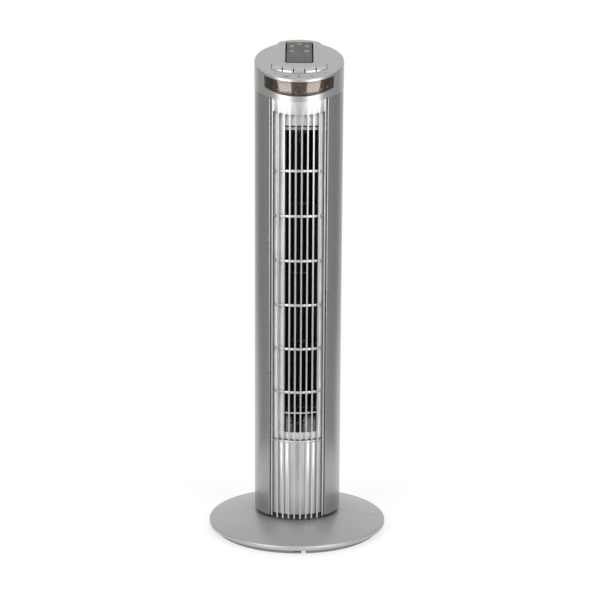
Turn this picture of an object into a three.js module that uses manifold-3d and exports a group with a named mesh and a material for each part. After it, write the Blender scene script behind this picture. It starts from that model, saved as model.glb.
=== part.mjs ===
// Tower fan: a slim round tower that swings on a disc base, with a cross-flow
// impeller behind a slotted front grille and a slanted head that holds five
// piano keys, a display window and a docked remote control.
// Millimetres, +Z up, the front faces -Y, the origin is on the floor under
// the tower's axis.

import * as THREE from "three";
import { mergeVertices } from "three/addons/utils/BufferGeometryUtils.js";
import { ConvexGeometry } from "three/addons/geometries/ConvexGeometry.js";
import Module from "manifold-3d";

const wasm = await Module();
wasm.setup();

// ---------------------------------------------------------------- dimensions

const gap = 0.3; // working gap between neighbouring pieces
const roundSteps = 48; // facets on a large circle
const smallSteps = 14; // facets on a small circle

// Tower casing
const towerRadius = 67;
const wall = 2.4;
const towerBottom = 33.5;
const shellInner = towerRadius - wall;
const grooveInner = 37.2; // degrees from the front, grille side of the groove
const grooveOuter = 39.6; // degrees, shell side of the groove
const flangeAngle = 42.5; // degrees, stiffening flange inside each side shell
const flangeInner = 59.5;
const rearSplit = 118; // degrees, joint between side shells and rear cover

// Slanted planes are heights at the tower's front and a rise per mm backwards
const deckPlane = { front: 697, rise: 0.45 };
const seamPlane = { front: 665.4, rise: 0.35 };
const windowTop = { front: 692.8, rise: 0.43 };
const windowBottom = { front: 672, rise: 0.59 };
const slotTop = { front: 644.9, rise: 0.52 };

// Front grille
const slotPitch = 8.76;
const slotCount = 9;
const slatWidth = 2.86;
const slatDepth = 6.7;
const toothDrop = 1.7; // the slats end this much below the casing
const barHeight = 3.7;
const barSpacing = 66.7;
const topBar = 564.1;
const barCount = 6;
const barArc = 53; // radius of the crossbars' arc
const barDepth = 2.2;
const blankTop = 153.5; // the slots are blank flutes between these heights
const blankBottom = 37.5;

// Air outlet behind the grille
const outlet = { left: -20.4, right: 29.6, bottom: 167, top: 630 };
const frameOuter = towerRadius - slatDepth - gap;
const frameInner = frameOuter - 1.8;

// Impeller and fan motor
const impellerY = 6;
const impellerRadius = 40;
const impellerBottom = 198;
const impellerTop = 620;
const bladeCount = 24;
const ringCount = 5;
const shaftRadius = 4;
const motorPlate = 163; // underside of the motor bracket
const motorHeight = 47;
const motorBottom = motorPlate - 1 - motorHeight;

// Base
const baseRadius = 139.5;
const footRadius = 130;
const lipBottom = 7.6;
const hubFlat = 28.3; // top of the base under the tower
const hubRadius = 66;
const baseSeam = 86.5; // degrees from the front, joint between the base halves

// Swivel and its gear
const toothModule = 1.5;
const pinionTeeth = 12;
const rackTeeth = 60; // on the full circle
const pinionRadius = (toothModule * pinionTeeth) / 2;
const rackRadius = (toothModule * rackTeeth) / 2;
const pinionY = pinionRadius + rackRadius;

// Keys on the deck, in deck units: x across, y up the slope
const keyCount = 5;
const keyPitch = 16.6;
const keyField = keyPitch * keyCount;
const keyArc = 62; // plan radius of the keys' front and rear edges
const keyFront = 22;
const keyDepth = 22;
const keyRaise = 0.14; // rise of the key tops towards the front
const keyLean = 0.45; // the front faces lean back this much per mm of height
const keyFlush = 47; // the key tops lie flush with the deck behind this

// Remote control and its dock, in deck units
const remoteWidth = 38.4;
const remoteLength = 74.3;
const remoteFront = 63;
const dockTilt = 2; // degrees, the dock is a little steeper than the deck
const dockDepth = 9;
const dockMargin = 2.2; // space round the remote at its sides and front
const dockRearMargin = 1;
const humpHeight = 3.6; // rise of the dock's surround at the rear

// ------------------------------------------------------------------ helpers

const radians = THREE.MathUtils.degToRad;

// Triangles of a closed geometry as a solid for joining and cutting
function solid(geometry) {
  geometry.deleteAttribute("normal");
  geometry.deleteAttribute("uv");
  const merged = mergeVertices(geometry, 1e-4);
  const points = merged.attributes.position.array;
  const corners = merged.index.array;
  const triangles = [];
  let volume = 0;
  for (let i = 0; i < corners.length; i += 3) {
    const [a, b, c] = corners.slice(i, i + 3);
    if (a === b || b === c || c === a) continue;
    triangles.push([a, b, c]);
    const [p, q, r] = [a, b, c].map((n) => new THREE.Vector3().fromArray(points, 3 * n));
    volume += p.dot(q.cross(r));
  }
  if (volume < 0) triangles.forEach((t) => t.reverse());
  const mesh = { numProp: 3, vertProperties: new Float32Array(points) };
  mesh.triVerts = new Uint32Array(triangles.flat());
  return new wasm.Manifold(new wasm.Mesh(mesh));
}

const join = (pieces) => pieces.reduce((whole, piece) => whole.add(piece));
const cut = (whole, tools) => tools.reduce((left, tool) => left.subtract(tool), whole);

function box(x0, x1, y0, y1, z0, z1) {
  const geometry = new THREE.BoxGeometry(x1 - x0, y1 - y0, z1 - z0);
  return solid(geometry.translate((x0 + x1) / 2, (y0 + y1) / 2, (z0 + z1) / 2));
}

// Solid of revolution about a vertical line, from [radius, height] pairs
function turned(pairs, x = 0, y = 0, steps = roundSteps) {
  const profile = pairs.map(([r, z]) => new THREE.Vector2(r, z));
  const geometry = new THREE.LatheGeometry(profile, steps);
  return solid(geometry.rotateX(Math.PI / 2).translate(x, y, 0));
}

const disc = (r, z0, z1, x = 0, y = 0, steps = smallSteps) =>
  turned([[0, z0], [r, z0], [r, z1], [0, z1]], x, y, steps);

const tube = (r, hole, z0, z1, x = 0, y = 0, steps = smallSteps) =>
  turned([[hole, z0], [r, z0], [r, z1], [hole, z1], [hole, z0]], x, y, steps);

// Upright prism over an outline of [x, y] pairs
function prism(outline, z0, z1) {
  const shape = new THREE.Shape(outline.map(([x, y]) => new THREE.Vector2(x, y)));
  const geometry = new THREE.ExtrudeGeometry(shape, { depth: z1 - z0, bevelEnabled: false });
  return solid(geometry.translate(0, 0, z0));
}

// Points on an arc; angles in degrees from the front, positive to the right
function arc(radius, from, to, x = 0, y = 0) {
  const count = Math.max(1, Math.ceil(Math.abs(to - from) / (360 / roundSteps)));
  return Array.from({ length: count + 1 }, (_, i) => {
    const angle = radians(from + ((to - from) * i) / count);
    return [x + radius * Math.sin(angle), y - radius * Math.cos(angle)];
  });
}

const sector = (outer, inner, from, to, z0, z1, x = 0, y = 0) =>
  prism([...arc(outer, from, to, x, y), ...arc(inner, to, from, x, y)], z0, z1);

// Everything below a slanted plane that runs across the whole fan
function below(plane, shift = 0) {
  const reach = 200;
  const height = (y) => plane.front + shift + plane.rise * (y + towerRadius);
  const floor = -reach;
  const corners = [];
  for (const x of [-reach, reach]) {
    for (const y of [-reach, reach]) {
      corners.push(new THREE.Vector3(x, y, floor), new THREE.Vector3(x, y, height(y)));
    }
  }
  return solid(new ConvexGeometry(corners));
}

const hull = (points) =>
  solid(new ConvexGeometry(points.map((p) => new THREE.Vector3(...p))));

// Rectangle with round corners, as [x, y] pairs
function roundedRectangle(x0, x1, y0, y1, radius, steps = 3) {
  const centres = [
    [x1 - radius, y0 + radius, 0],
    [x1 - radius, y1 - radius, 90],
    [x0 + radius, y1 - radius, 180],
    [x0 + radius, y0 + radius, 270],
  ];
  return centres.flatMap(([cx, cy, start]) =>
    Array.from({ length: steps + 1 }, (_, i) => {
      const angle = radians(start + (90 * i) / steps);
      return [cx + radius * Math.sin(angle), cy - radius * Math.cos(angle)];
    }),
  );
}

function ellipse(cx, cy, rx, ry, steps = 12) {
  return Array.from({ length: steps }, (_, i) => {
    const angle = (2 * Math.PI * i) / steps;
    return [cx + rx * Math.cos(angle), cy + ry * Math.sin(angle)];
  });
}

// ---------------------------------------------------------------- materials

const finishes = {
  satinSilver: { color: 0xa9abae, roughness: 0.35, metalness: 0.6 },
  brightSilver: { color: 0xd9dadc, roughness: 0.4, metalness: 0.3 },
  deckSilver: { color: 0xb0afad, roughness: 0.45, metalness: 0.3 },
  blackPlastic: { color: 0x17181a, roughness: 0.55, metalness: 0 },
  greyPlastic: { color: 0x6c6d6f, roughness: 0.45, metalness: 0 },
  greenKey: { color: 0x4fa04a, roughness: 0.4, metalness: 0 },
  lightKey: { color: 0xa8a8a8, roughness: 0.4, metalness: 0 },
  bronzeWindow: { color: 0x5b4336, roughness: 0.1, metalness: 0.2 },
  rubber: { color: 0x1d1d1d, roughness: 0.9, metalness: 0 },
  steel: { color: 0x9a9ca0, roughness: 0.3, metalness: 1 },
  board: { color: 0x1f5a35, roughness: 0.6, metalness: 0 },
  whitePlastic: { color: 0xe4e2da, roughness: 0.5, metalness: 0 },
  brass: { color: 0xb59a55, roughness: 0.35, metalness: 1 },
};

const fan = new THREE.Group();

function add(name, shape, finish, parent = fan) {
  const { vertProperties, triVerts } = shape.getMesh();
  const geometry = new THREE.BufferGeometry();
  geometry.setAttribute("position", new THREE.BufferAttribute(vertProperties, 3));
  geometry.setIndex(new THREE.BufferAttribute(triVerts, 1));
  geometry.computeVertexNormals();
  const mesh = new THREE.Mesh(geometry, new THREE.MeshStandardMaterial(finishes[finish]));
  mesh.name = name;
  parent.add(mesh);
  return mesh;
}

// --------------------------------------------------------------------- base

const screwCircle = 49;
const screwAngles = [45, 135, 225, 315];
const onCircle = (radius, angle) => arc(radius, angle, angle)[0];

function baseHalves() {
  const whole = turned([
    [footRadius + gap, lipBottom],
    [baseRadius, lipBottom],
    [baseRadius, 12.6],
    [baseRadius - 1.5, 15],
    [hubRadius, hubFlat],
    [46, hubFlat],
    [46, hubFlat - 2.5],
    [64, hubFlat - 2.5],
    [footRadius + 1.4, 12.2],
    [footRadius + gap, 10.5],
    [footRadius + gap, lipBottom],
  ]);
  const holes = screwAngles.map((angle) => disc(2.3, 20, hubFlat - 0.5, ...onCircle(screwCircle, angle), 8));
  const drilled = cut(whole, holes);
  const side = (shift, end) => {
    const [x, y] = arc(200, baseSeam, baseSeam)[0];
    const outline = [[0, shift], [x, y + shift], [x, end], [-x, end], [-x, y + shift]];
    return prism(end < 0 ? outline.reverse() : outline, -10, 60);
  };
  const frontSide = side(-gap / 2, -200);
  const rearSide = side(gap / 2, 200);
  add("base_front", drilled.intersect(frontSide), "satinSilver");
  add("base_rear", drilled.intersect(rearSide), "satinSilver");
}

const footAngles = [40, 140, 220, 320];
const footCircle = footRadius - 4.6;

function footRing() {
  const ring = tube(footRadius, footRadius - 9.6, 0.6, 10.2, 0, 0, roundSteps);
  const notch = box(7, 13.5, -140, -110, -1, 12);
  const relief = box(-4, 8, -140, -110, 3.4, 12);
  const recesses = footAngles.map((angle) => disc(3.6, 0, 2.2, ...onCircle(footCircle, angle), 12));
  add("foot_ring", cut(ring, [notch, relief, ...recesses]), "satinSilver");
  footAngles.forEach((angle, i) => {
    const foot = disc(3.6 - gap, 0, 2.2 - gap, ...onCircle(footCircle, angle), 12);
    add("rubber_foot_" + (i + 1), foot, "rubber");
  });
}

function swivel() {
  add("ballast_plate", tube(112, 58, 4, 8, 0, 0, 24), "steel");
  const socket = turned([
    [36, 14],
    [40, 14],
    [40, 22],
    [54, 22],
    [54, 25.5],
    [40, 25.5],
    [40, 32.4],
    [36, 32.4],
    [36, 14],
  ], 0, 0, 24);
  const holes = screwAngles.map((angle) => disc(2.3, 20, 27, ...onCircle(screwCircle, angle), 8));
  add("swivel_socket", cut(socket, holes), "whitePlastic");
  screwAngles.forEach((angle, i) => {
    const [x, y] = onCircle(screwCircle, angle);
    const screw = join([disc(2, 21, 27.5, x, y, 8), disc(4, 19, 21.7, x, y, 8)]);
    add("base_screw_" + (i + 1), screw, "steel");
  });
  add("thrust_washer", tube(39.8, 36.2, 32.7, 33.7, 0, 0, 24), "brass");
}

// Outline of a gear's toothed edge between two tooth numbers
function toothedEdge(teeth, first, last, phase) {
  const pitch = 360 / teeth;
  const pitchRadius = (toothModule * teeth) / 2;
  const tip = pitchRadius + 0.8 * toothModule;
  const root = pitchRadius - 1.1 * toothModule;
  const points = [];
  for (let n = first; n <= last; n += 1) {
    const middle = phase + n * pitch;
    for (const [radius, share] of [[root, -0.32], [tip, -0.12], [tip, 0.12], [root, 0.32]]) {
      points.push(onCircle(radius, middle + share * pitch));
    }
  }
  return points;
}

function swingGear() {
  const rackPitch = 360 / rackTeeth;
  const reach = 9;
  const edge = toothedEdge(rackTeeth, -reach, reach - 1, 180 + rackPitch / 2);
  const halfAngle = reach * rackPitch;
  const back = arc(40.8, 180 + halfAngle, 180 - halfAngle);
  add("swing_rack", prism([...edge, ...back], hubFlat + gap, 32.4), "whitePlastic");

  const wheel = prism(toothedEdge(pinionTeeth, 0, pinionTeeth - 1, 0), 29.2, 32.6);
  const pinion = join([wheel, disc(2.5, 32, 40, 0, 0, 12)]);
  add("swing_pinion", pinion, "whitePlastic").position.y = pinionY;

  const motorY = pinionY - 8;
  const body = join([
    disc(14, 37.3, 54, 0, motorY, 32),
    box(-21, 21, motorY - 3.5, motorY + 3.5, 37.3, 38.6),
  ]);
  add("swing_motor", cut(body, [disc(2.8, 36, 41, 0, pinionY, 12)]), "steel");
}

// -------------------------------------------------------------------- tower

const skirtBottom = 29.4;
const bossX = 36;
const bossZ = 50;

function radialScrew(x, y, z, reach, radius) {
  const geometry = new THREE.CylinderGeometry(radius, radius, reach, 12);
  return solid(geometry.translate(x, y + reach / 2, z));
}

function bottomPlate() {
  const plate = join([
    disc(shellInner - gap, 34, 37, 0, 0, roundSteps),
    tube(35.5, 31, 13.8, 34.5, 0, 0, 24),
    box(bossX - 5, bossX + 5, 40, 49.4, 36, bossZ + 8),
    box(-bossX - 5, -bossX + 5, 40, 49.4, 36, bossZ + 8),
    ...[-1, 1].map((side) => sector(shellInner - gap, 62, side * 44, side * 150, skirtBottom, 34.5)),
    sector(flangeInner - gap, 57, -46, 46, skirtBottom, 34.5),
  ]);
  const bore = disc(31, 30, 40, 0, 0, 24);
  const pinionHole = disc(3.2, 30, 40, 0, pinionY, 12);
  const pilots = [bossX, -bossX].map((x) => radialScrew(x, 43, bossZ, 20, 1.9));
  const grilleClearance = sector(80, flangeInner - gap, -45, 45, 25, 60);
  add("bottom_plate", cut(plate, [bore, pinionHole, grilleClearance, ...pilots]), "blackPlastic");
  add("retaining_ring", tube(39.5, 28, 10.5, 13.5, 0, 0, 24), "steel");
}

const underSeam = below(seamPlane, -gap / 2);

function sideShells() {
  for (const [name, side] of [["left_shell", -1], ["right_shell", 1]]) {
    const skin = sector(
      towerRadius,
      shellInner,
      side * grooveOuter,
      side * rearSplit,
      towerBottom,
      800,
    );
    const flange = sector(
      shellInner + 0.5,
      flangeInner,
      side * flangeAngle,
      side * (flangeAngle + 1.6),
      towerBottom,
      800,
    );
    add(name, join([skin, flange]).intersect(underSeam), "satinSilver");
  }
}

// One upright bar of the grille, its front on the tower's surface
function slat(x0, x1, z0, z1, back = towerRadius - slatDepth) {
  const depthAt = (radius, x) => -Math.sqrt(radius * radius - x * x);
  const outline = [
    [x0, depthAt(towerRadius, x0)],
    [x1, depthAt(towerRadius, x1)],
    [x1, depthAt(back, x1)],
    [x0, depthAt(back, x0)],
  ];
  return prism(outline, z0, z1);
}

function frontGrille() {
  const pieces = [];
  const fieldEdge = (slotCount * slotPitch - slatWidth) / 2;
  const frameEdge = towerRadius * Math.sin(radians(grooveInner));
  for (let n = 1; n < slotCount; n += 1) {
    const x = (n - slotCount / 2) * slotPitch;
    pieces.push(slat(x - slatWidth / 2, x + slatWidth / 2, towerBottom - toothDrop, 655));
  }
  pieces.push(slat(fieldEdge, frameEdge, towerBottom, 655, towerRadius - 6));
  pieces.push(slat(-frameEdge, -fieldEdge, towerBottom, 655, towerRadius - 6));

  const header = sector(towerRadius, towerRadius - 4, -grooveInner, grooveInner, 640, 700);
  pieces.push(header.subtract(below(slotTop)).intersect(underSeam));

  const blank = sector(62.5, towerRadius - slatDepth, -grooveInner, grooveInner, blankBottom, blankTop);
  pieces.push(blank, crossbar(blankTop));
  for (let n = 0; n < barCount; n += 1) {
    pieces.push(crossbar(topBar - n * barSpacing));
  }
  add("front_grille", join(pieces), "brightSilver");
}

function crossbar(z) {
  const half = 47;
  const centreY = barArc - towerRadius + 0.9;
  return sector(barArc, barArc - barDepth, -half, half, z - barHeight / 2, z + barHeight / 2, 0, centreY);
}

function outletFrame() {
  const plate = sector(frameOuter, frameInner, -38.5, 38.5, 155.7, 655);
  const opening = box(outlet.left, outlet.right, -70, -30, outlet.bottom, outlet.top);
  const sill = sector(frameOuter, frameInner, -21, 30.5, 196, 198);
  add("outlet_frame", join([plate.subtract(opening), sill]), "brightSilver");
}

// The two walls that shape the air stream beside the impeller
function ductWalls() {
  const floor = motorPlate + 2.5;
  const roof = outlet.top - 6.5;
  const frontAt = (x) => -Math.sqrt((frameInner - 0.5) ** 2 - x * x);
  const scroll = join([
    sector(48.3, 46.5, 34, 128, floor, roof, 2, impellerY),
    box(outlet.right - 1.8, outlet.right, frontAt(outlet.right), -31, floor, roof),
  ]);
  add("scroll_wall", scroll, "blackPlastic");
  const tongue = join([
    sector(44, 42.2, -82, -25, floor, roof, 0, impellerY),
    box(outlet.left, outlet.left + 1.8, frontAt(outlet.left), -31, floor, roof),
  ]);
  add("tongue_wall", tongue, "blackPlastic");
}

function rearCover() {
  const rear = 180;
  const from = rearSplit + 0.3;
  const skin = sector(towerRadius, shellInner, from, 360 - from, towerBottom, 800).intersect(underSeam);
  const columns = 23;
  const rows = 5;
  const pitch = 4.5; // degrees
  const halfSlot = 1.35;
  const slots = [];
  for (let row = 0; row < rows; row += 1) {
    const bottom = 176 + row * 89;
    for (let column = 0; column < columns; column += 1) {
      const middle = rear + (column - (columns - 1) / 2) * pitch;
      slots.push(sector(70, 60, middle - halfSlot, middle + halfSlot, bottom, bottom + 84));
    }
  }
  const grip = { half: 36, bottom: 666, top: 692, depth: 49 };
  const block = box(-grip.half - 2, grip.half + 2, grip.depth, 67, grip.bottom - 2, grip.top + 2);
  const pocket = block.intersect(disc(towerRadius - 0.5, 600, 760, 0, 0, roundSteps));
  const hollow = box(-grip.half, grip.half, grip.depth + 2, 70, grip.bottom, grip.top);
  const gland = radialScrew(0, 50, 66, 30, 6.3);
  const screwHoles = [bossX, -bossX].map((x) => radialScrew(x, 45, bossZ, 20, 2.3));
  const whole = join([skin, pocket]);
  add("rear_cover", cut(whole, [hollow, gland, ...slots, ...screwHoles]), "satinSilver");
  [bossX, -bossX].forEach((x, i) => {
    const screw = join([radialScrew(x, 44, bossZ, 9, 1.6), radialScrew(x, 51.5, bossZ, 2.6, 1.9)]);
    add("casing_screw_" + (i + 1), screw, "steel");
  });
  const inlet = join([radialScrew(0, 61, 66, 7, 6), radialScrew(0, 67.4, 66, 2.4, 8.5)]);
  add("cord_gland", inlet.subtract(radialScrew(0, 55, 66, 20, 3.4)), "rubber");
}

// ----------------------------------------------------- impeller and its drive

function impeller() {
  const pieces = [];
  const spacing = (impellerTop - 2 - impellerBottom) / (ringCount - 1);
  for (let n = 0; n < ringCount; n += 1) {
    const z = impellerBottom + n * spacing;
    const isEnd = n === 0 || n === ringCount - 1;
    pieces.push(tube(impellerRadius, isEnd ? 5 : 31, z, z + 2, 0, 0, 2 * bladeCount));
  }
  const blade = [[-0.6, -impellerRadius + 0.8], [0.6, -impellerRadius + 0.8], [4.4, -31.6], [3.2, -31.6]];
  for (let n = 0; n < bladeCount; n += 1) {
    const turn = (2 * Math.PI * n) / bladeCount;
    const outline = blade.map(([x, y]) => [
      x * Math.cos(turn) - y * Math.sin(turn),
      x * Math.sin(turn) + y * Math.cos(turn),
    ]);
    pieces.push(prism(outline, impellerBottom + 1, impellerTop - 1));
  }
  pieces.push(tube(12, 5, impellerBottom - 4, impellerBottom + 1, 0, 0));
  add("impeller", join(pieces), "blackPlastic").position.y = impellerY;
  add("rotor_shaft", disc(shaftRadius, motorBottom - 3, impellerBottom + 10, 0, impellerY), "steel");
  const sleeve = tube(10, shaftRadius + gap, motorPlate + 6, impellerBottom - 4.3, 0, impellerY);
  add("shaft_coupling", sleeve, "rubber");
  const pin = join([disc(3, 610, 634, 0, impellerY, 16), disc(4.7, 604, impellerTop, 0, impellerY, 16)]);
  add("top_pin", pin, "steel");
}

function bearing() {
  const plate = join([
    disc(frameInner - gap, 624, 628, 0, 0, 48),
    box(-18, 18, 0, 61, 624, 628),
  ]);
  const seat = disc(11 + gap, 620, 632, 0, impellerY, 24);
  const notch = box(-3.8, 3.8, -60, -50, 620, 632);
  add("upper_bracket", cut(plate, [seat, notch]), "brightSilver");
  add("bearing_holder", tube(11, 6.8, 622.8, 630, 0, impellerY, 24), "rubber");
  add("bearing_bush", tube(6.5, 3 + gap, 622.8, 631, 0, impellerY, 20), "brass");
}

const mountAngles = [60, 180, 300];
const mountCircle = 26;

function fanMotor() {
  const plate = join([
    disc(frameInner - gap, motorPlate, motorPlate + 2, 0, 0, 48),
    box(-18, 18, 0, 61, motorPlate, motorPlate + 2),
  ]);
  const spots = mountAngles.map((angle) => arc(mountCircle, angle, angle, 0, impellerY)[0]);
  const holes = [disc(12, motorPlate - 3, motorPlate + 5, 0, impellerY)];
  holes.push(...spots.map(([x, y]) => disc(3, motorPlate - 3, motorPlate + 5, x, y, 12)));
  add("motor_bracket", cut(plate, holes), "steel");

  const profile = [
    [0, 0],
    [27, 0],
    [31, 4],
    [31, 10],
    [38, 10],
    [38, 32],
    [31, 32],
    [31, 38],
    [10, 42],
    [10, motorHeight],
    [0, motorHeight],
  ];
  const motor = turned(profile.map(([r, z]) => [r, z + motorBottom]), 0, impellerY, 24);
  const bore = disc(shaftRadius + gap, motorBottom - 10, motorPlate + 10, 0, impellerY);
  add("fan_motor", motor.subtract(bore), "steel");
  spots.forEach(([x, y], i) => {
    const mount = join([
      disc(6, motorPlate - 7.4, motorPlate - gap, x, y, 16),
      disc(2.6, motorPlate - 6, motorPlate + 4, x, y, 12),
    ]);
    add("motor_mount_" + (i + 1), mount.subtract(motor), "rubber");
  });
}

// --------------------------------------------------------------------- head

const headRadius = towerRadius + 0.5;
const headInner = headRadius - wall;
const slope = Math.atan(deckPlane.rise);
const skinDrop = wall / Math.cos(slope);

// The deck's own frame: x across, y up the slope, z out of the deck
const deck = new THREE.Group();
deck.position.set(0, -towerRadius, deckPlane.front);
deck.rotation.x = slope;
fan.add(deck);
const dock = new THREE.Group();
dock.position.y = remoteFront;
dock.rotation.x = radians(dockTilt);
deck.add(dock);
fan.updateMatrixWorld(true);

const placed = (shape, group) => shape.transform(group.matrixWorld.elements);

// Points on the key field's front edge between two places across the deck
function keyEdge(x0, x1, start) {
  const steps = Math.round((4 * (x1 - x0)) / keyPitch);
  return Array.from({ length: steps + 1 }, (_, i) => {
    const x = x0 + ((x1 - x0) * i) / steps;
    return [x, start + keyArc - Math.sqrt(keyArc * keyArc - x * x)];
  });
}

const keyOutline = (x0, x1, grow) => [
  ...keyEdge(x0, x1, keyFront - grow),
  ...keyEdge(x0, x1, keyFront + keyDepth + grow).reverse(),
];

const hump = hull([
  [-37, remoteFront - 1, -0.6],
  [37, remoteFront - 1, -0.6],
  [-29, remoteFront - 1, 0],
  [29, remoteFront - 1, 0],
  [-37, 150, -0.6],
  [37, 150, -0.6],
  [-37, 150, 0],
  [37, 150, 0],
  [-29, 150, humpHeight],
  [29, 150, humpHeight],
]);

function headCover() {
  const body = disc(headRadius, 640, 800, 0, 0, roundSteps);
  const underDeck = below(deckPlane).add(placed(hump, deck));
  const outside = body.intersect(underDeck).subtract(below(seamPlane, gap / 2));
  const inner = disc(headInner, 600, 800, 0, 0, roundSteps).intersect(below(deckPlane, -skinDrop));
  const shell = outside.subtract(inner);

  const bevel = { front: deckPlane.front - 1.2, rise: 1.3 };
  const bevelled = shell.intersect(below(bevel));

  const half = remoteWidth / 2 + dockMargin;
  const dockFront = -dockMargin;
  const dockRear = remoteLength + dockRearMargin;
  const trayOutline = roundedRectangle(-half - 2, half + 2, dockFront - 2, dockRear + 2, 5);
  const tray = prism(trayOutline, -dockDepth - 2, -0.8);
  const trayInside = disc(headInner + 0.5, 600, 800, 0, 0, roundSteps);
  const walls = placed(tray, dock).intersect(trayInside);
  const pocket = prism(roundedRectangle(-half, half, dockFront, dockRear, 4), -dockDepth, 20);

  const windowHole = sector(headRadius + 5, 60, -49.8, 49.8, 640, 760)
    .intersect(below(windowTop))
    .subtract(below(windowBottom));
  const keyHole = prism(keyOutline(-keyField / 2, keyField / 2, gap), -20, 20);
  const cuts = [placed(pocket, dock), windowHole, placed(keyHole, deck)];
  add("head_cover", cut(join([bevelled, walls]), cuts), "deckSilver");
}

function displayParts() {
  const pane = sector(headRadius - 0.4, headRadius - 2.2, -49.4, 49.4, 640, 760)
    .intersect(below(windowTop, -gap))
    .subtract(below(windowBottom, gap));
  add("display_window", pane, "bronzeWindow");
  add("display_board", box(-30, 30, -55.4, -53.8, 676, 694), "board");
  const receiver = join([box(-3, 3, -59.5, -55.7, 680, 687), disc(2.2, 681, 686, 0, -59.8, 12)]);
  add("ir_receiver", receiver, "blackPlastic");
  const board = box(-40, 40, 24, 54, -15.6, -14);
  add("key_board", board, "board", deck);
}

function keys() {
  const inset = 0.4;
  for (let n = 0; n < keyCount; n += 1) {
    const x0 = -keyField / 2 + n * keyPitch + inset;
    const block = prism(keyOutline(x0, x0 + keyPitch - 2 * inset, -0.15), -5, 8);
    const ramp = hull([
      [-60, 0, -10],
      [60, 0, -10],
      [-60, 0, keyFlush * keyRaise],
      [60, 0, keyFlush * keyRaise],
      [-60, keyFlush, -10],
      [60, keyFlush, -10],
      [-60, keyFlush, 0],
      [60, keyFlush, 0],
    ]);
    const flat = box(-60, 60, keyFlush - 0.01, 90, -10, 0);
    const top = 8;
    const nose = hull([
      ...keyEdge(x0 - 1, x0 + keyPitch, keyFront + 0.15).flatMap(([x, y]) => [
        [x, y, -12],
        [x, y, 0],
        [x, y + keyLean * top, top],
      ]),
      ...[-60, 60].flatMap((x) => [[x, 90, -12], [x, 90, top]]),
    ]);
    const tongue = block.intersect(ramp.add(flat)).intersect(nose);
    const plunger = box(x0 + 5, x0 + 9, 36, 40, -12.5, -4);
    const key = join([tongue, plunger]);
    add("key_" + (n + 1), key, "deckSilver", deck);
  }
}

const remoteKeys = [
  { name: "remote_key_1", x: -11.6, y: 58.8, rx: 4.6, ry: 4.4, finish: "lightKey" },
  { name: "remote_key_2", x: 11.6, y: 58.8, rx: 4.6, ry: 4.4, finish: "lightKey" },
  { name: "remote_key_3", x: -11.6, y: 40.8, rx: 4.6, ry: 4.4, finish: "lightKey" },
  { name: "remote_key_4", x: 11.6, y: 40.8, rx: 4.6, ry: 4.4, finish: "lightKey" },
  { name: "remote_power_key", x: 0, y: 67.4, rx: 4.6, ry: 4, finish: "greenKey" },
];

function remote() {
  const half = remoteWidth / 2;
  const outline = roundedRectangle(-half, half, 0, remoteLength, 3.4);
  const innerOutline = roundedRectangle(-half + 1.6, half - 1.6, 1.6, remoteLength - 1.6, 2.2);
  const shellCase = prism(outline, -dockDepth + 0.6, -1.9).subtract(prism(innerOutline, -dockDepth + 2.2, 0));
  add("remote_case", shellCase, "greyPlastic", dock);

  const holes = remoteKeys.map(({ x, y, rx, ry }) => prism(ellipse(x, y, rx + gap, ry + gap), -5, 5));
  add("remote_face", cut(prism(outline, -1.6, 0.2), holes), "greyPlastic", dock);
  add("battery_cell", disc(10, -dockDepth + 2.6, -dockDepth + 5.6, 0, 18, 24), "steel", dock);
  add("remote_board", box(-half + 2.4, half - 2.4, 34, remoteLength - 2.4, -5.6, -4.2), "board", dock);
  for (const { name, x, y, rx, ry, finish } of remoteKeys) {
    add(name, prism(ellipse(x, y, rx, ry), -3.4, 0.9), finish, dock);
  }
}

// ---------------------------------------------------------------- assembly

baseHalves();
footRing();
swivel();
swingGear();
bottomPlate();
sideShells();
frontGrille();
outletFrame();
ductWalls();
rearCover();
impeller();
bearing();
fanMotor();
headCover();
displayParts();
keys();
remote();

export default fan;
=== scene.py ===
# Tower fan: the finished look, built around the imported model.
# Lengths are in millimetres in this script and become metres when a mesh is made.
# Angles round the tower are in degrees from the front, positive to the right.

import math

import bmesh
import bpy
from mathutils import Matrix, Vector


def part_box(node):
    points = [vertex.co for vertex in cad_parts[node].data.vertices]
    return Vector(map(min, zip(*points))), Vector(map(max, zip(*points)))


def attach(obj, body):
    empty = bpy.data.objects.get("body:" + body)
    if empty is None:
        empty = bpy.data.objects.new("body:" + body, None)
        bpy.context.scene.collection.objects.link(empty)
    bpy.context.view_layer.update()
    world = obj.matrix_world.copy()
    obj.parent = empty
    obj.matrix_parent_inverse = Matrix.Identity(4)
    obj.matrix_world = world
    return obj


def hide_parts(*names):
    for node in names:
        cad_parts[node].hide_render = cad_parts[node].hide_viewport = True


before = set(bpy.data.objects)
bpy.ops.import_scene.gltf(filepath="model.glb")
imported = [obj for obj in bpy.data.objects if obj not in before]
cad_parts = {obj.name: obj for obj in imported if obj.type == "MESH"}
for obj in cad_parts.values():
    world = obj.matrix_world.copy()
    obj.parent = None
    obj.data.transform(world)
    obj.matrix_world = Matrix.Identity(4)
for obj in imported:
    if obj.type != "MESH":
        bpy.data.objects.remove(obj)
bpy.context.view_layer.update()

MM = 0.001
radians = math.radians


def low(node, axis):
    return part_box(node)[0]["xyz".index(axis)] / MM


def high(node, axis):
    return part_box(node)[1]["xyz".index(axis)] / MM


# ---------------------------------------------------------------- dimensions

TOWER_R = -low("front_grille", "y")
HEAD_R = high("head_cover", "x")
WALL = 2.4
TOWER_BOTTOM = low("left_shell", "z")
GROOVE_INNER = 37.2
GROOVE_OUTER = 39.6
REAR_SPLIT = 118

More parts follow.
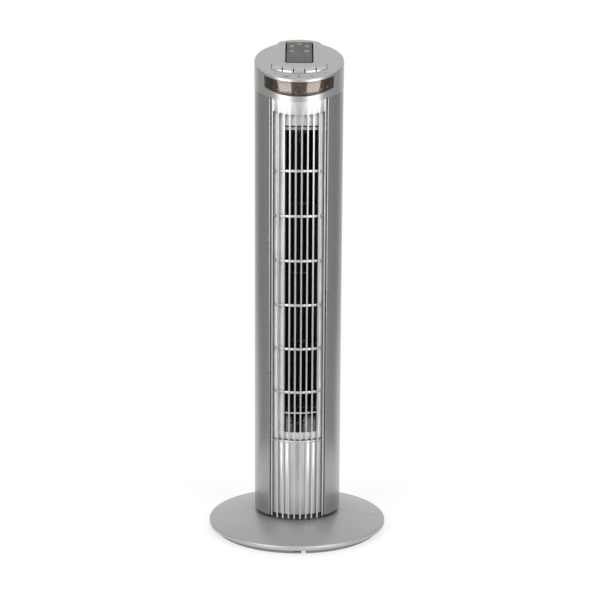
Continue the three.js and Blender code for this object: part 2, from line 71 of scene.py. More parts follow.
DECK = (697, 0.45)  # height at the tower's front and rise per mm backwards
SEAM = (665.4, 0.35)
SEAM_GAP = 0.15  # from the seam's middle to the head and to the casing
WINDOW_TOP = (692.8, 0.43)
WINDOW_BOTTOM = (672, 0.59)
WINDOW_SPAN = 49.8  # degrees from the front to each end of the window
SLOT_TOP = (644.9, 0.52)
SLOPE = math.atan(DECK[1])

SLOT_PITCH = 8.76
SLAT_WIDTH = 2.86
SLOTS = 9
SLAT_BACK_R = TOWER_R - 6.7
BAR_R = 53
BAR_DEPTH = 2.2
BAR_HEIGHT = 3.7
TOP_BAR = 564.1
BAR_PITCH = 66.7
BARS = [TOP_BAR - BAR_PITCH * n for n in range(6)]
BLANK_TOP = 153.5
BLANK_BOTTOM = 37.5
OUTLET_X = (-20.4, 29.6)
OUTLET_Z = (167, 630)

KEYS = 5
KEY_PITCH = 16.6
KEY_ARC = 62
KEY_FRONT = 22
KEY_DEPTH = 22
KEY_GAP = 0.15  # between the deck's opening or a key and the key field's outline
KEY_FIELD = KEYS * KEY_PITCH
KEY_RAISE = 0.14
KEY_LEAN = 0.45  # the front faces lean back this much per mm of height
KEY_FLUSH = 47

REMOTE_W = high("remote_case", "x") * 2
REMOTE_L = 74.3
REMOTE_FRONT = 63
DOCK_TILT = radians(2)
DOCK_DEPTH = 9
DOCK_SIDE = 2.2  # space round the remote at its sides and front
DOCK_REAR = 1

BASE_R = high("base_front", "x")
FOOT_R = high("foot_ring", "x")

DECK_FRAME = Matrix.Translation((0, -TOWER_R, DECK[0])) @ Matrix.Rotation(SLOPE, 4, "X")
DOCK_FRAME = DECK_FRAME @ Matrix.Translation((0, REMOTE_FRONT, 0)) @ Matrix.Rotation(DOCK_TILT, 4, "X")


def plane(front_and_rise, shift=0):
    front, rise = front_and_rise
    return lambda x, y: front + shift + rise * (y + TOWER_R)


# ----------------------------------------------------------------- materials


class Tree:
    """A node tree, with short ways to add and join nodes."""

    def __init__(self, tree):
        self.tree = tree

    def add(self, kind, **settings):
        node = self.tree.nodes.new(kind)
        for key, value in settings.items():
            setattr(node, key, value)
        return node

    def join(self, out, into):
        self.tree.links.new(out, into)


class Nodes(Tree):
    """A material's tree, with its shader and the textures that feed it."""

    def __init__(self, name):
        self.material = bpy.data.materials.new(name)
        self.material.use_nodes = True
        super().__init__(self.material.node_tree)
        self.shader = self.tree.nodes["Principled BSDF"]
        self.place = self.add("ShaderNodeTexCoord").outputs["Object"]

    def set(self, **values):
        for key, value in values.items():
            self.shader.inputs[key.replace("_", " ")].default_value = value

    def noise(self, scale, detail=2.0, stretch=(1, 1, 1)):
        mapping = self.add("ShaderNodeMapping")
        mapping.inputs["Scale"].default_value = stretch
        self.join(self.place, mapping.inputs["Vector"])
        node = self.add("ShaderNodeTexNoise")
        node.inputs["Scale"].default_value = scale
        node.inputs["Detail"].default_value = detail
        self.join(mapping.outputs["Vector"], node.inputs["Vector"])
        return node.outputs["Fac"]

    def ramp(self, factor, dark, light, start=0.3, end=0.7):
        node = self.add("ShaderNodeValToRGB")
        node.color_ramp.elements[0].position = start
        node.color_ramp.elements[1].position = end
        node.color_ramp.elements[0].color = (*dark, 1)
        node.color_ramp.elements[1].color = (*light, 1)
        self.join(factor, node.inputs["Fac"])
        return node.outputs["Color"]

    def range(self, factor, lowest, highest):
        node = self.add("ShaderNodeMapRange")
        node.inputs["To Min"].default_value = lowest
        node.inputs["To Max"].default_value = highest
        self.join(factor, node.inputs["Value"])
        return node.outputs["Result"]

    def bump(self, factor, strength, distance):
        node = self.add("ShaderNodeBump")
        node.inputs["Strength"].default_value = strength
        node.inputs["Distance"].default_value = distance
        self.join(factor, node.inputs["Height"])
        self.join(node.outputs["Normal"], self.shader.inputs["Normal"])


def tone(colour, factor):
    return tuple(min(1, c * factor) for c in colour)


def lacquer(name, colour, metallic, roughness):
    """Sprayed silver: metal flake, a faint orange peel and uneven gloss."""
    m = Nodes(name)
    flake = m.noise(2600, 1)
    cloud = m.noise(14, 3)
    m.join(m.ramp(flake, tone(colour, 0.93), tone(colour, 1.07)), m.shader.inputs["Base Color"])
    m.join(m.range(cloud, roughness * 0.88, roughness * 1.12), m.shader.inputs["Roughness"])
    m.set(Metallic=metallic, Coat_Weight=0.15, Coat_Roughness=0.2)
    m.bump(m.noise(900, 3), strength=0.12, distance=0.00004)
    return m.material


def moulded(name, colour, roughness=0.5, grain=900, depth=0.00006, strength=0.25):
    """Moulded plastic or rubber with a fine spark-eroded texture."""
    m = Nodes(name)
    grain_noise = m.noise(grain, 4)
    m.join(m.ramp(m.noise(30, 3), tone(colour, 0.88), tone(colour, 1.12)), m.shader.inputs["Base Color"])
    m.join(m.range(grain_noise, roughness * 0.85, roughness * 1.15), m.shader.inputs["Roughness"])
    m.bump(grain_noise, strength=strength, distance=depth)
    return m.material


def metal(name, colour, roughness=0.32, stretch=(1, 1, 1)):
    """Plated or machined metal with fine directional marks."""
    m = Nodes(name)
    lines = m.noise(500, 4, stretch)
    m.join(m.ramp(m.noise(25, 3), tone(colour, 0.85), tone(colour, 1.1)), m.shader.inputs["Base Color"])
    m.join(m.range(lines, roughness * 0.7, roughness * 1.3), m.shader.inputs["Roughness"])
    m.set(Metallic=1.0)
    m.bump(lines, strength=0.15, distance=0.00003)
    return m.material


def laminate(name, colour):
    """Circuit board: solder mask over copper tracks."""
    m = Nodes(name)
    brick = m.add("ShaderNodeTexBrick")
    brick.inputs["Scale"].default_value = 160
    brick.inputs["Color1"].default_value = (*colour, 1)
    brick.inputs["Color2"].default_value = (*tone(colour, 1.5), 1)
    brick.inputs["Mortar"].default_value = (*tone(colour, 0.6), 1)
    m.join(m.place, brick.inputs["Vector"])
    m.join(brick.outputs["Color"], m.shader.inputs["Base Color"])
    m.set(Roughness=0.3)
    m.bump(brick.outputs["Fac"], strength=0.3, distance=0.0001)
    return m.material


def tinted(name, colour):
    """Bronze window, glossy and see-through."""
    m = Nodes(name)
    haze = m.noise(60, 2)
    m.join(m.ramp(haze, tone(colour, 0.92), tone(colour, 1.08)), m.shader.inputs["Base Color"])
    m.set(Roughness=0.05, IOR=2.5, Specular_Tint=(1, 0.9, 0.82, 1), Alpha=0.42)
    m.bump(m.noise(20, 1), strength=0.03, distance=0.0002)
    return m.material


SATIN = lacquer("satin_silver", (0.31, 0.31, 0.315), 0.72, 0.27)
BRIGHT = lacquer("bright_silver", (0.43, 0.43, 0.435), 0.5, 0.31)
DECKING = lacquer("deck_silver", (0.37, 0.368, 0.365), 0.58, 0.29)
BASE_SILVER = lacquer("base_silver", (0.35, 0.348, 0.35), 0.5, 0.38)
# The foot ring's silver is darkened to stand in for the shade under the base's overhanging lip: painted
# shade.
FOOT_SILVER_PAINTED_SHADE = lacquer("foot_silver_painted_shade", (0.16, 0.16, 0.16), 0.3, 0.45)
# Pale grey plastic behind the slats and on the upper bracket, lighter than its deep, shaded place would
# show: partly its own pale tone, partly painted light.
PALE_LIT_BACKING = moulded("pale_backing_with_painted_light", (0.78, 0.78, 0.78), 0.4)
BLACK = moulded("black_plastic", (0.012, 0.012, 0.013), 0.42)
DARK = moulded("dark_plastic", (0.03, 0.03, 0.031), 0.5)
REMOTE_GREY = moulded("remote_grey", (0.062, 0.06, 0.058), 0.42, 1400)
REMOTE_KEY = moulded("remote_key_grey", (0.16, 0.157, 0.155), 0.4, 1600)
GREEN = moulded("power_key_green", (0.06, 0.22, 0.05), 0.38, 1600)
RUBBER = moulded("rubber_black", (0.018, 0.018, 0.018), 0.85, 700, depth=0.0001, strength=0.4)
ACETAL = moulded("acetal_white", (0.72, 0.70, 0.64), 0.35)
STEEL = metal("plated_steel", (0.42, 0.43, 0.44), 0.35, (1, 1, 12))
BRASS = metal("machined_brass", (0.66, 0.5, 0.22), 0.3, (1, 1, 20))
BOARD = laminate("circuit_laminate", (0.015, 0.12, 0.04))
BRONZE = tinted("bronze_window", (0.04, 0.025, 0.015))
CARD = moulded("display_card", (0.17, 0.1, 0.055), 0.6)
MARK = moulded("printed_mark", (0.05, 0.05, 0.05), 0.5)
# Pale white for the lamps on the card, and for the receiver's glint, which is a painted highlight.
WHITE_MARK_AND_GLINT = moulded("lamp_body", (0.85, 0.84, 0.82), 0.3)

# ------------------------------------------------------------- mesh building


def mesh_object(name, verts, faces, where=None):
    """A mesh from points in mm, with its faces pointing out."""
    to_row = where or Matrix.Identity(4)
    mesh = bpy.data.meshes.new(name)
    mesh.from_pydata([(to_row @ Vector(v)) * MM for v in verts], [], faces)
    bm = bmesh.new()
    bm.from_mesh(mesh)
    bmesh.ops.remove_doubles(bm, verts=bm.verts, dist=1e-7)
    bmesh.ops.recalc_face_normals(bm, faces=bm.faces)
    bm.to_mesh(mesh)
    bm.free()
    obj = bpy.data.objects.new(name, mesh)
    bpy.context.scene.collection.objects.link(obj)
    return obj


def height_at(level, x, y):
    return level(x, y) if callable(level) else level


def prism(name, outline, bottom, top, where=None):
    """Upright prism; bottom and top are heights or functions of x and y."""
    n = len(outline)
    verts = [(x, y, height_at(bottom, x, y)) for x, y in outline]
    verts += [(x, y, height_at(top, x, y)) for x, y in outline]
    faces = [tuple(range(n))[::-1], tuple(range(n, 2 * n))]
    faces += [(i, (i + 1) % n, n + (i + 1) % n, n + i) for i in range(n)]
    return mesh_object(name, verts, faces, where)


def slab(name, tops, bottoms, where=None):
    """Closed slab between two grids of points of the same size."""
    rows, cols = len(tops), len(tops[0])
    verts = [p for row in tops for p in row] + [p for row in bottoms for p in row]
    count = rows * cols

    def at(i, j, side):
        return side * count + i * cols + j

    faces = []
    for i in range(rows - 1):
        for j in range(cols - 1):
            faces.append((at(i, j, 0), at(i, j + 1, 0), at(i + 1, j + 1, 0), at(i + 1, j, 0)))
            faces.append((at(i, j, 1), at(i + 1, j, 1), at(i + 1, j + 1, 1), at(i, j + 1, 1)))
    rim = [(0, j) for j in range(cols)] + [(i, cols - 1) for i in range(1, rows)]
    rim += [(rows - 1, j) for j in range(cols - 2, -1, -1)] + [(i, 0) for i in range(rows - 2, 0, -1)]
    for (a, b), (c, d) in zip(rim, rim[1:] + rim[:1]):
        faces.append((at(a, b, 0), at(c, d, 0), at(c, d, 1), at(a, b, 1)))
    return mesh_object(name, verts, faces, where)


def crosswise(name, outline, y0, y1):
    """Prism along Y over an outline of (x, z) pairs."""
    turn = Matrix(((1, 0, 0, 0), (0, 0, 1, 0), (0, 1, 0, 0), (0, 0, 0, 1)))
    return prism(name, outline, y0, y1, turn)


def stack(name, rings, where=None):
    """Closed solid through rings that have the same number of points, with flat ends."""
    steps = len(rings[0])
    faces = []
    for i in range(len(rings) - 1):
        for j in range(steps):
            k = (j + 1) % steps
            faces.append((i * steps + j, i * steps + k, (i + 1) * steps + k, (i + 1) * steps + j))
    last = (len(rings) - 1) * steps
    faces += [tuple(range(steps))[::-1], tuple(range(last, last + steps))]
    return mesh_object(name, [p for ring in rings for p in ring], faces, where)


def evenly(start, end, steps):
    """Equal steps after start, the last one at end."""
    return [start + (end - start) * n / steps for n in range(1, steps + 1)]


def arc(radius, start, end, steps, x=0, y=0):
    points = []
    for n in range(steps + 1):
        angle = radians(start + (end - start) * n / steps)
        points.append((x + radius * math.sin(angle), y - radius * math.cos(angle)))
    return points


def sector(outer, inner, start, end, steps=40, x=0, y=0):
    return arc(outer, start, end, steps, x, y) + arc(inner, end, start, steps, x, y)


def revolve(name, profile, start=0, end=360, steps=192, x=0, y=0):
    """Solid of revolution from closed [radius, height] pairs, whole or part."""
    whole = end - start == 360
    rings = steps if whole else steps + 1
    n = len(profile)
    verts = []
    for i in range(rings):
        angle = radians(start + (end - start) * i / steps)
        verts += [(x + r * math.sin(angle), y - r * math.cos(angle), z) for r, z in profile]
    faces = []
    for i in range(steps):
        near, far = i * n, (i + 1) % rings * n
        faces += [(near + j, far + j, far + (j + 1) % n, near + (j + 1) % n) for j in range(n)]
    if not whole:
        faces += [tuple(range(n))[::-1], tuple((rings - 1) * n + j for j in range(n))]
    return mesh_object(name, verts, faces)


def slotted_sheet(name, columns, levels, present, outer, inner):
    """Closed curved sheet with openings: columns are places across it, levels are heights up it, and
    present(i, j) says which cells hold material."""
    verts, faces, known = [], [], {}

    def at(i, j, side):
        if (i, j, side) not in known:
            x, y = (outer, inner)[side](columns[i])
            known[i, j, side] = len(verts)
            verts.append((x, y, height_at(levels[j], *outer(columns[i]))))
        return known[i, j, side]

    def filled(i, j):
        return 0 <= i < len(columns) - 1 and 0 <= j < len(levels) - 1 and present(i, j)

    for i in range(len(columns) - 1):
        for j in range(len(levels) - 1):
            if not filled(i, j):
                continue
            corners = [(i, j), (i + 1, j), (i + 1, j + 1), (i, j + 1)]
            faces.append([at(a, b, 0) for a, b in corners])
            faces.append([at(a, b, 1) for a, b in corners[::-1]])
            beside = [(i, j - 1), (i + 1, j), (i, j + 1), (i - 1, j)]
            for k, near in enumerate(beside):
                if not filled(*near):
                    (a, b), (c, d) = corners[k], corners[(k + 1) % 4]
                    faces.append([at(a, b, 0), at(a, b, 1), at(c, d, 1), at(c, d, 0)])
    return mesh_object(name, verts, faces)


def rounded_rectangle(x0, x1, y0, y1, radius, steps=6):
    points = []
    for cx, cy, start in (
        (x1 - radius, y0 + radius, 0),
        (x1 - radius, y1 - radius, 90),
        (x0 + radius, y1 - radius, 180),
        (x0 + radius, y0 + radius, 270),
    ):
        points += arc(radius, start, start + 90, steps, cx, cy)
    return points


def ellipse(cx, cy, rx, ry, steps=40):
    return [
        (cx + rx * math.cos(2 * math.pi * n / steps), cy + ry * math.sin(2 * math.pi * n / steps))
        for n in range(steps)
    ]


def evaluated(obj):
    """Applies an object's modifiers to its own mesh."""
    graph = bpy.context.evaluated_depsgraph_get()
    mesh = bpy.data.meshes.new_from_object(obj.evaluated_get(graph))
    obj.modifiers.clear()
    obj.data = mesh
    return obj


def combine(obj, operation, *others):
    for other in others:
        modifier = obj.modifiers.new("combine", "BOOLEAN")
        modifier.operation = operation
        modifier.solver = "EXACT"
        modifier.object = other
    evaluated(obj)
    for other in others:
        bpy.data.objects.remove(other)
    return obj


def soften(obj, width, steps=2, angle=35, between=None):
    """Rounds the edges sharper than angle, or those between the given points, by width in mm."""
    modifier = obj.modifiers.new("soften", "BEVEL")
    modifier.width = width * MM
    modifier.segments = steps
    modifier.limit_method = "ANGLE"
    modifier.angle_limit = radians(angle)
    if between:
        obj.vertex_groups.new(name="soft").add(between, 1, "REPLACE")
        modifier.limit_method = "VGROUP"
        modifier.vertex_group = "soft"
    return evaluated(obj)


def merged(name, parts):
    """One object from several closed ones."""
    bm = bmesh.new()
    for part in parts:
        bm.from_mesh(part.data)
    mesh = bpy.data.meshes.new(name)
    bm.to_mesh(mesh)
    bm.free()
    for part in parts:
        bpy.data.objects.remove(part)
    obj = bpy.data.objects.new(name, mesh)
    bpy.context.scene.collection.objects.link(obj)
    return obj


def place(obj, material, body, *nodes, slot=None, crease=32):
    """Gives a piece its material, shading and body, and the CAD nodes it stands for."""
    obj.data.materials.clear()
    obj.data.materials.append(material)
    obj.data.shade_smooth()
    obj.data.set_sharp_from_angle(angle=radians(crease))
    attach(obj, body)
    if nodes:
        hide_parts(*nodes)
    return obj


# ---------------------------------------------------------------------- base


def base():
    lip = low("base_front", "z")
    hub_top = high("base_front", "z")
    hub_r, bore_r, skin = 66, 46, 2.5
    chamfer, shoulder = 0.9, lip + 4.6
    round_r, round_h = 1.6, 2.4
    foot_gap = 0.4
    turns = (0.4, 0.8, 1.2)
    corner = [(BASE_R - round_r + round_r * math.cos(a), shoulder + round_h * math.sin(a)) for a in turns]
    profile = [
        (FOOT_R + foot_gap, lip),
        (BASE_R - chamfer, lip),
        (BASE_R, lip + chamfer),
        (BASE_R, shoulder),
        *corner,
        (BASE_R - 2.3, 15.1),
        (hub_r, hub_top),
        (bore_r, hub_top),
        (bore_r, hub_top - skin),
        (hub_r - 2, hub_top - skin),
        (FOOT_R + 1.4, 12.2),
        (FOOT_R + foot_gap, 10.5),
    ]
    seam = 86.5  # degrees from the front
    joint = 0.02  # degrees left open at each end
    for name, start, end in (("base_cover_front", -seam, seam), ("base_cover_rear", seam, 360 - seam)):
        half = revolve(name, profile, start + joint, end - joint, 128)
        soften(half, 0.7, 2, 40)
        node = name.replace("_cover", "")
        place(half, BASE_SILVER, "base", node, slot="satin_silver", crease=25)
    foot_ring()


def foot_ring():
    """Ring under the disc, with a notch through its front and a shallower relief beside it."""
    inner, bottom, top = FOOT_R - 9.6, 0.6, 10.2
    ring = revolve("foot_skirt", [(inner, bottom), (FOOT_R, bottom), (FOOT_R, top), (inner, top)])

    def cutter(name, x0, x1, from_height):
        outline = [(x0, -140), (x1, -140), (x1, -110), (x0, -110)]
        return prism(name, outline, from_height, top + 1.8)

    combine(ring, "DIFFERENCE", cutter("notch_cut", 7, 13.5, -1), cutter("relief_cut", -4, 8, 3.4))
    soften(ring, 0.7, 3, 40)
    # Dark silver on the ring: painted shade from the lip above it.
    place(ring, FOOT_SILVER_PAINTED_SHADE, "base", "foot_ring", slot="satin_silver", crease=25)


# --------------------------------------------------------------------- tower


def side_shells():
    top = plane(SEAM, -SEAM_GAP)
    for node, side in (("left_shell", -1), ("right_shell", 1)):
        start, end = sorted((side * GROOVE_OUTER, side * REAR_SPLIT))
        steps = 64
        outline = sector(TOWER_R, TOWER_R - WALL, start, end, steps)
        shell = prism("side_cover_" + node[:-6], outline, TOWER_BOTTOM, top)
        corners = [0, steps, steps + 1, 2 * steps + 1]
        soften(shell, 0.9, 3, between=corners + [n + len(outline) for n in corners])
        soften(shell, 0.35)
        place(shell, SATIN, "tower", node, slot="satin_silver", crease=40)


def on_circle(radius):
    return lambda x: (x, -math.sqrt(radius * radius - x * x))


def front_grille():
    field = (SLOTS * SLOT_PITCH - SLAT_WIDTH) / 2
    edge = TOWER_R * math.sin(radians(GROOVE_INNER))
    land = 0.9  # a flat along the frame's inner edge
    slimmer = 0.4  # taken off each slat's left side
    recess = 0.3  # the frame's inner edges lie this far back
    overhang = 1.7  # the slats reach this far below the casing
    columns, solid = [-edge, -field - land], [True, True]
    for n in range(SLOTS):
        x0 = -field + n * SLOT_PITCH
        x1 = x0 + SLOT_PITCH - SLAT_WIDTH + (slimmer if n < SLOTS - 1 else 0)
        columns += [x0, (x0 + x1) / 2, x1]
        solid += [False, False, True]
    columns += [field + land, edge]
    solid.append(True)

    def face(x):
        at_edge = abs(abs(x) - field) < 0.01
        return x, on_circle(TOWER_R)(x)[1] + (recess if at_edge else 0)

    def foot(x, y):
        return TOWER_BOTTOM if abs(x) > field - 1 else TOWER_BOTTOM - overhang

    sheet = slotted_sheet(
        "grille_slats",
        columns,
        [foot, plane(SLOT_TOP), plane(SEAM, -SEAM_GAP)],
        lambda i, j: j == 1 or solid[i],
        face,
        on_circle(SLAT_BACK_R),
    )
    soften(sheet, 0.32, 2)
    place(sheet, BRIGHT, "tower", "front_grille", slot="bright_silver", crease=40)

    bars, bar_span, setback = [], 46.5, 0.9
    centre = BAR_R - TOWER_R + setback
    for n, z in enumerate([*BARS, BLANK_TOP]):
        outline = sector(BAR_R, BAR_R - BAR_DEPTH, -bar_span, bar_span, 48, 0, centre)
        bar = prism(f"bar_{n}", outline, z - BAR_HEIGHT / 2, z + BAR_HEIGHT / 2)
        bars.append(soften(bar, 0.6, 3))
    place(merged("grille_bars", bars), BRIGHT, "tower", "front_grille", slot="bright_silver", crease=40)

    blank_r, blank_span = 62.5, 36.9
    outline = sector(blank_r, SLAT_BACK_R, -blank_span, blank_span)
    blank = prism("grille_blank", outline, BLANK_BOTTOM, BLANK_TOP)
    soften(blank, 0.4)
    place(blank, BRIGHT, "tower", "front_grille", slot="bright_silver", crease=40)


def outlet():
    """Silver panel behind the slats, open towards the impeller, with a sill across the opening."""
    front, back = SLAT_BACK_R - 0.3, SLAT_BACK_R - 2.1
    span, panel_bottom, panel_top = 38.5, 155.7, 655
    sill_bottom, sill_top = 196.2, 198.2
    left, right = (math.degrees(math.asin(x / front)) for x in OUTLET_X)
    columns = [-span, *evenly(-span, left, 8), *evenly(left, right, 16), *evenly(right, span, 6)]
    sheet = slotted_sheet(
        "outlet_panel",
        columns,
        [panel_bottom, *OUTLET_Z, panel_top],
        lambda i, j: j != 1 or columns[i + 1] <= left + 0.01 or columns[i] >= right - 0.01,
        lambda a: arc(front, a, a, 1)[0],
        lambda a: arc(back, a, a, 1)[0],
    )
    soften(sheet, 0.5)
    sill = prism("outlet_sill", sector(front, back - 1.5, left, right, 24), sill_bottom, sill_top)
    soften(sill, 0.4)
    # The panel and sill take the pale backing: their brightness deep in the slots is partly painted light.
    place(sheet, PALE_LIT_BACKING, "tower", "outlet_frame", slot="bright_silver", crease=40)
    place(sill, PALE_LIT_BACKING, "tower", "outlet_frame", slot="bright_silver", crease=40)


GRIP_HALF, GRIP_FLOOR, GRIP_ROOF, GRIP_CORNER = 36, 666, 692, 6


def grip_outline(wall=0):
    half = GRIP_HALF + wall
    return rounded_rectangle(-half, half, GRIP_FLOOR - wall, GRIP_ROOF + wall, GRIP_CORNER + wall)


def rear_cover():
    """Rear casing with its intake slots and screw holes, and the tray of the carry grip."""
    slots, pitch, slot = 23, 4.5, 2.7  # columns of slots, in degrees
    rows, row_pitch, row_height, bottom = 5, 89, 84, 176
    stride = 3  # degrees between columns where the sheet is plain
    start = REAR_SPLIT + 0.3
    angles, solid = [start], []
    first = 180 - (slots - 1) / 2 * pitch - slot / 2
    while angles[-1] + stride < first:
        angles.append(angles[-1] + stride)
        solid.append(True)
    for n in range(slots):
        angles += [first + n * pitch, first + n * pitch + slot / 2, first + n * pitch + slot]
        solid += [True, False, False]
    steps = math.ceil((360 - start - angles[-1]) / stride)
    angles += evenly(angles[-1], 360 - start, steps)
    solid += [True] * steps
    levels = [TOWER_BOTTOM]
    for n in range(rows):
        levels += [bottom + n * row_pitch, bottom + n * row_pitch + row_height]
    levels.append(plane(SEAM, -SEAM_GAP))
    cover = slotted_sheet(
        "rear_shell",
        angles,
        levels,
        lambda i, j: solid[i] or j % 2 == 0,
        lambda a: arc(TOWER_R, a, a, 1)[0],
        lambda a: arc(TOWER_R - WALL, a, a, 1)[0],
    )
    gland_z, gland_r = 66, 6.3
    screw_x, screw_z, screw_r = 36, 50, 2.3
    hole = crosswise("grip_hole", grip_outline(), 30, 80)
    gland = crosswise("gland_hole", ellipse(0, gland_z, gland_r, gland_r), 50, 80)
    screws = [
        crosswise("screw_hole", ellipse(x, screw_z, screw_r, screw_r, 24), 40, 80)
        for x in (screw_x, -screw_x)
    ]
    combine(cover, "DIFFERENCE", hole, gland, *screws)
    soften(cover, 0.5, 2, 40)
    place(cover, SATIN, "tower", "rear_cover", slot="satin_silver", crease=35)

    tray_front, tray_wall = 49, 2
    tray = crosswise("grip_tray", grip_outline(tray_wall), tray_front, 80)
    combine(tray, "INTERSECT", prism("trim", arc(TOWER_R - 0.4, 0, 354, 118), 600, 760))
    combine(tray, "DIFFERENCE", crosswise("grip_inside", grip_outline(), tray_front + tray_wall, 80))
    soften(tray, 0.4, 2, 40)
    place(tray, DARK, "tower", "rear_cover", slot="satin_silver", crease=35)


# ---------------------------------------------------------------------- head


def hump_height(x, v):
    """Rise of the dock's surround above the deck, in mm along the deck's normal."""
    half, shoulder = 37.5, 8.5
    along = max(0.0, v - REMOTE_FRONT + 1)
    across = min(1.0, max(0.0, (half - abs(x)) / shoulder))
    return math.tan(DOCK_TILT) * along * across * across * (3 - 2 * across)


def deck_height(x, y):
    v = (y + TOWER_R) / math.cos(SLOPE)
    return plane(DECK)(x, y) + hump_height(x, v) / math.cos(SLOPE)


def head_skin():
    """Closed shell of the head: skirt, rounded rim and slanted deck, with its hollow underside."""
    steps, rim_steps, deck_rings = 240, 6, 30
    rim = 1.9
    tip = 0.02  # radius of the innermost rings
    inner_r = HEAD_R - WALL
    bottoms = plane(SEAM, SEAM_GAP)
    ceiling = plane(DECK, -WALL / math.cos(SLOPE))
    angles = [360 * n / steps for n in range(steps)]

    def ring(radius, height):
        points = (arc(radius, a, a, 1)[0] for a in angles)
        return [(x, y, height(x, y)) for x, y in points]

    rings = [
        ring(tip, lambda x, y: ceiling(0, 0)),
        ring(inner_r, ceiling),
        ring(inner_r, bottoms),
        ring(HEAD_R, bottoms),
    ]
    for n in range(rim_steps + 1):
        phi = math.pi / 2 * n / rim_steps
        drop = rim * (1 - math.sin(phi))
        rings.append(ring(HEAD_R - rim * (1 - math.cos(phi)), lambda x, y: deck_height(x, y) - drop))
    for n in range(1, deck_rings):
        share = 1 - n / deck_rings
        rings.append(ring(max(tip, (HEAD_R - rim) * share), deck_height))
    return stack("head_shell", rings)


def key_edge(x):
    """How far the keys' curved edges lie behind their middle at x."""
    return KEY_ARC - math.sqrt(KEY_ARC * KEY_ARC - x * x)


def key_field_outline():
    across = [-KEY_FIELD / 2, *evenly(-KEY_FIELD / 2, KEY_FIELD / 2, 48)]
    front = [(x, KEY_FRONT + key_edge(x) - KEY_GAP) for x in across]
    rear = [(x, KEY_FRONT + KEY_DEPTH + key_edge(x) + KEY_GAP) for x in across[::-1]]
    return front + rear


def head():
    """Head cover with its openings, and the black tray of the remote's dock."""
    shell = head_skin()
    window_hole = prism(
        "window_hole",
        sector(HEAD_R + 6, 58, -WINDOW_SPAN, WINDOW_SPAN, 64),
        plane(WINDOW_BOTTOM),
        plane(WINDOW_TOP),
    )
    key_hole = prism("key_hole", key_field_outline(), -20, 12, DECK_FRAME)
    corner = 4
    side, near, far = REMOTE_W / 2 + DOCK_SIDE, -DOCK_SIDE, REMOTE_L + DOCK_REAR
    pocket = rounded_rectangle(-side, side, near, far, corner)
    dock = prism("dock_hole", pocket, -DOCK_DEPTH, 14, DOCK_FRAME)
    combine(shell, "DIFFERENCE", window_hole, key_hole, dock)
    soften(shell, 0.35, 2, 40)
    place(shell, DECKING, "tower", "head_cover", slot="deck_silver", crease=30)

    wall, tray_top = 1.8, -2.8
    around = rounded_rectangle(-side - wall, side + wall, near - wall, far + wall, corner + 1)
    tray = prism("dock_tray", around, -DOCK_DEPTH - wall, tray_top, DOCK_FRAME)
    combine(tray, "DIFFERENCE", prism("dock_hollow", pocket, -DOCK_DEPTH, 10, DOCK_FRAME))
    place(tray, BLACK, "tower", "head_cover", slot="deck_silver")


# Dark parts on the display card: angle, share of the window's height, radius
SWITCHES = (
    (-36, 0.5, 2.2),
    (-30, 0.45, 1.6),
    (-23, 0.55, 1),
    (-14, 0.5, 1),
    (-5, 0.5, 1.7),
    (5, 0.5, 1.7),
    (14, 0.55, 1),
    (22, 0.5, 1),
    (30, 0.5, 1.8),
    (36, 0.5, 2.2),
)
# Pale lamps on the card: angle, share of the window's height
LAMPS = ((-29.3, 0.8), (-29, 0.2), (-4.5, 0.14), (7.3, 0.14), (31.4, 0.2), (40.4, 0.2))


def window():
    """Tinted pane over a card with small dark parts and pale lamps, and the remote's receiver."""
    pane_span, pane_inset, card_inset = 49.4, 0.3, 0.8
    card_r = HEAD_R - 4.2
    receiver_half, receiver_bottom, receiver_top = 3, 676.6, 688.2

    def band(name, outer, inner, start, end, inset, steps=48):
        outline = sector(outer, inner, start, end, steps)
        return prism(name, outline, plane(WINDOW_BOTTOM, inset), plane(WINDOW_TOP, -inset))

    def fit(piece, material, *nodes):
        place(piece, material, "tower", *nodes, slot="bronze_window")

    pane = band("window_pane", HEAD_R - 0.4, HEAD_R - 2.0, -pane_span, pane_span, pane_inset, 96)
    soften(pane, 0.3)
    fit(pane, BRONZE, "display_window")
    fit(band("window_back", card_r - 0.6, card_r - 1.8, -49, 49, card_inset), BLACK)
    fit(band("display_card", card_r, card_r - 0.5, -37, 35, card_inset), CARD)
    for n, (angle, share, radius) in enumerate(SWITCHES):
        fit(lamp(f"display_switch_{n + 1}", angle, share, radius, card_r), BLACK)
    for n, (angle, share) in enumerate(LAMPS):
        fit(lamp(f"lamp_body_{n + 1}", angle, share, 1.2, card_r), WHITE_MARK_AND_GLINT)

    outline = rounded_rectangle(-receiver_half, receiver_half, receiver_bottom, receiver_top, 1.4)
    lens = crosswise("receiver_lens", outline, -card_r - 1.3, -card_r + 0.4)
    soften(lens, 0.4)
    place(lens, BLACK, "tower", "ir_receiver", slot="black_plastic")
    # A white dome on top of the receiver stands in for its highlight: painted highlight.
    fit(lamp("receiver_painted_glint", 0, 0.72, 1.1, card_r + 0.9), WHITE_MARK_AND_GLINT)


def lamp(name, angle, share, radius, seat):
    """Small dome that faces outwards: share is how far up the window it sits, seat its distance
    from the tower's axis."""
    x, y = arc(seat, angle, angle, 1)[0]
    bottom, top = plane(WINDOW_BOTTOM)(x, y), plane(WINDOW_TOP)(x, y)
    z = bottom + (top - bottom) * share
    outward = Matrix.Translation((x, y, z)) @ Matrix.Rotation(radians(angle), 4, "Z")
    turn = outward @ Matrix(((1, 0, 0, 0), (0, 0, -1, 0), (0, 1, 0, 0), (0, 0, 0, 1)))
    dome = [(radius, 0), (radius, 0.5), (radius * 0.8, 0.9), (radius * 0.4, 1.1)]
    return stack(name, [[(u, v, rise) for u, v in ellipse(0, 0, r, r, 20)] for r, rise in dome], turn)


